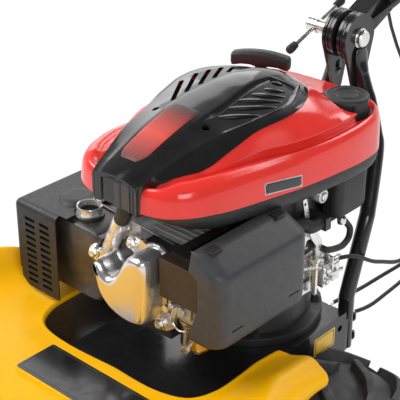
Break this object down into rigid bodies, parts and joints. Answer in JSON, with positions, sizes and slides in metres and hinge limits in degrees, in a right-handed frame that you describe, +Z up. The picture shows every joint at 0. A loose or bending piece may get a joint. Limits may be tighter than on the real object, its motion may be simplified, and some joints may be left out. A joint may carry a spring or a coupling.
{
  "type": "brush mower",
  "caption": "Walk-behind brush mower: vertical-shaft engine on a chassis channel, front rotary blade under a moulded hood, driven wheels and a folding handlebar.",
  "frame": {"origin": "ground level under the middle of the machine's length and width", "axes": "+Z up, front (blade) towards -Y, handlebar towards +Y, +X is the machine's left with the air filter"},
  "size_m": [0.6487, 1.7019, 0.9665],
  "materials": {
    "black_steel": "satin black paint",
    "hood_yellow": "glossy moulded yellow",
    "plate_black": "glossy moulded black",
    "cowl_red": "glossy red",
    "matte_black": "fine-grained black plastic",
    "lever_red": "red moulding",
    "cast_aluminium": "as cast",
    "polished_aluminium": "polished",
    "cast_iron": "machined casting",
    "steel": "bare steel",
    "dark_steel": "heat-dark steel",
    "bright_steel": "zinc plated",
    "black_rubber": "matte rubber",
    "tyre_rubber": "lugged tyre",
    "rim_yellow": "gloss yellow paint",
    "filter_foam": "pleated paper"
  },
  "bodies": {
    "frame": {"chassis": "black_steel", "blade_housing": "black_steel", "hood": "hood_yellow", "nameplate": "plate_black", "skids": "black_steel", "spindle_housing": "cast_iron", "gearbox": "cast_iron", "crankcase": "cast_aluminium", "cylinder_block": "cast_aluminium", "cylinder_head": "cast_aluminium", "valve_cover": "polished_aluminium", "valve_cover_bolts": "steel", "spark_plug": "steel", "muffler": "dark_steel", "muffler_guard": "black_steel", "carburettor": "cast_aluminium", "air_box": "matte_black", "filter_element": "filter_foam", "fuel_tank": "matte_black", "fuel_hose": "black_rubber", "breather_hose": "black_rubber", "control_bracket": "steel", "blower_base": "matte_black", "engine_cowl": "cowl_red", "top_cover": "plate_black", "handle_frame": "black_steel", "clamp_bolt": "bright_steel", "blade_belt": "black_rubber", "drive_belt": "black_rubber", "blade_cable": "black_rubber", "drive_cable": "black_rubber", "throttle_cable": "black_rubber"},
    "crank": {"crankshaft": "steel", "flywheel": "cast_aluminium", "engine_pulley": "cast_iron"},
    "spindle": {"blade_spindle": "steel", "spindle_pulley": "cast_iron", "blade": "steel", "blade_bolt": "steel"},
    "gearbox_input": {"gearbox_pulley": "cast_iron"},
    "wheels": {"axle": "steel", "left_rim": "rim_yellow", "right_rim": "rim_yellow", "left_tyre": "tyre_rubber", "right_tyre": "tyre_rubber"},
    "blade_idler": {"blade_idler_arm": "steel"},
    "blade_idler_wheel": {"blade_idler_pulley": "steel"},
    "drive_idler": {"drive_idler_arm": "steel"},
    "drive_idler_wheel": {"drive_idler_pulley": "steel"},
    "handlebar": {"handlebar": "black_steel", "grips": "black_rubber"},
    "blade_lever": {"blade_lever": "lever_red"},
    "drive_lever": {"drive_lever": "matte_black"},
    "throttle_lever": {"throttle_lever": "matte_black"},
    "clamp_nut": {"clamp_nut": "bright_steel", "cross_bar": "bright_steel"},
    "fuel_cap": {"fuel_cap": "matte_black"},
    "filter_cover": {"filter_cover": "matte_black"},
    "recoil_handle": {"recoil_handle": "matte_black"}
  },
  "joints": [
    {"name": "crank_turn", "type": "hinge", "parent": "frame", "child": "crank", "pos_m": [0, -0.014, 0.4], "axis": [0, 0, 1], "continuous": true},
    {"name": "spindle_turn", "type": "hinge", "parent": "frame", "child": "spindle", "pos_m": [0, -0.539, 0.2], "axis": [0, 0, 1], "continuous": true},
    {"name": "gearbox_input_turn", "type": "hinge", "parent": "frame", "child": "gearbox_input", "pos_m": [0, -0.144, 0.287], "axis": [0, 0, 1], "continuous": true},
    {"name": "wheel_turn", "type": "hinge", "parent": "frame", "child": "wheels", "pos_m": [0, -0.074, 0.165], "axis": [1, 0, 0], "continuous": true},
    {"name": "blade_idler_swing", "type": "hinge", "parent": "frame", "child": "blade_idler", "pos_m": [-0.014, -0.294, 0.245], "axis": [0, 0, 1], "range_deg": [0, 17]},
    {"name": "blade_idler_turn", "type": "hinge", "parent": "blade_idler", "child": "blade_idler_wheel", "pos_m": [0.00256, -0.35582, 0.262], "axis": [0, 0, 1], "continuous": true},
    {"name": "drive_idler_swing", "type": "hinge", "parent": "frame", "child": "drive_idler", "pos_m": [0.078, -0.024, 0.272], "axis": [0, 0, -1], "range_deg": [0, 9]},
    {"name": "drive_idler_turn", "type": "hinge", "parent": "drive_idler", "child": "drive_idler_wheel", "pos_m": [0.06511, -0.08464, 0.287], "axis": [0, 0, 1], "continuous": true},
    {"name": "handlebar_tilt", "type": "hinge", "parent": "frame", "child": "handlebar", "pos_m": [0, 0.167, 0.635], "axis": [1, 0, 0], "range_deg": [-15, 65], "deforming": ["blade_cable", "drive_cable", "throttle_cable"]},
    {"name": "blade_lever_squeeze", "type": "hinge", "parent": "handlebar", "child": "blade_lever", "pos_m": [0.255, 0.69005, 0.85022], "axis": [1, 0, 0], "range_deg": [0, 16], "stiffness_Nm_per_rad": 2, "springref_deg": -20.05},
    {"name": "drive_lever_squeeze", "type": "hinge", "parent": "handlebar", "child": "drive_lever", "pos_m": [-0.255, 0.69005, 0.85022], "axis": [1, 0, 0], "range_deg": [0, 16], "stiffness_Nm_per_rad": 2, "springref_deg": -20.05},
    {"name": "throttle_swing", "type": "hinge", "parent": "handlebar", "child": "throttle_lever", "pos_m": [-0.2385, 0.56397, 0.83666], "axis": [1, 0, 0], "range_deg": [-30, 30]},
    {"name": "clamp_nut_turn", "type": "hinge", "parent": "frame", "child": "clamp_nut", "pos_m": [-0.04, 0.167, 0.635], "axis": [-1, 0, 0], "range_deg": [0, 270]},
    {"name": "fuel_cap_turn", "type": "hinge", "parent": "frame", "child": "fuel_cap", "pos_m": [0.066, 0.078, 0.58], "axis": [0, 0, 1], "range_deg": [0, 90]},
    {"name": "filter_cover_open", "type": "hinge", "parent": "frame", "child": "filter_cover", "pos_m": [0.097, -0.151, 0.422], "axis": [0, 1, 0], "range_deg": [0, 40]},
    {"name": "recoil_pull", "type": "slide", "parent": "frame", "child": "recoil_handle", "axis": [-0.819, 0.2996, 0.4894], "range_m": [0, 0.45], "stiffness_N_per_m": 12, "springref_m": -0.4}
  ],
  "couplings": [
    {"joint": "spindle_turn", "follows": "crank_turn", "ratio": 0.69565},
    {"joint": "gearbox_input_turn", "follows": "crank_turn", "ratio": 0.48},
    {"joint": "blade_idler_swing", "follows": "blade_lever_squeeze", "ratio": 1.0625},
    {"joint": "drive_idler_swing", "follows": "drive_lever_squeeze", "ratio": 0.5625}
  ]
}
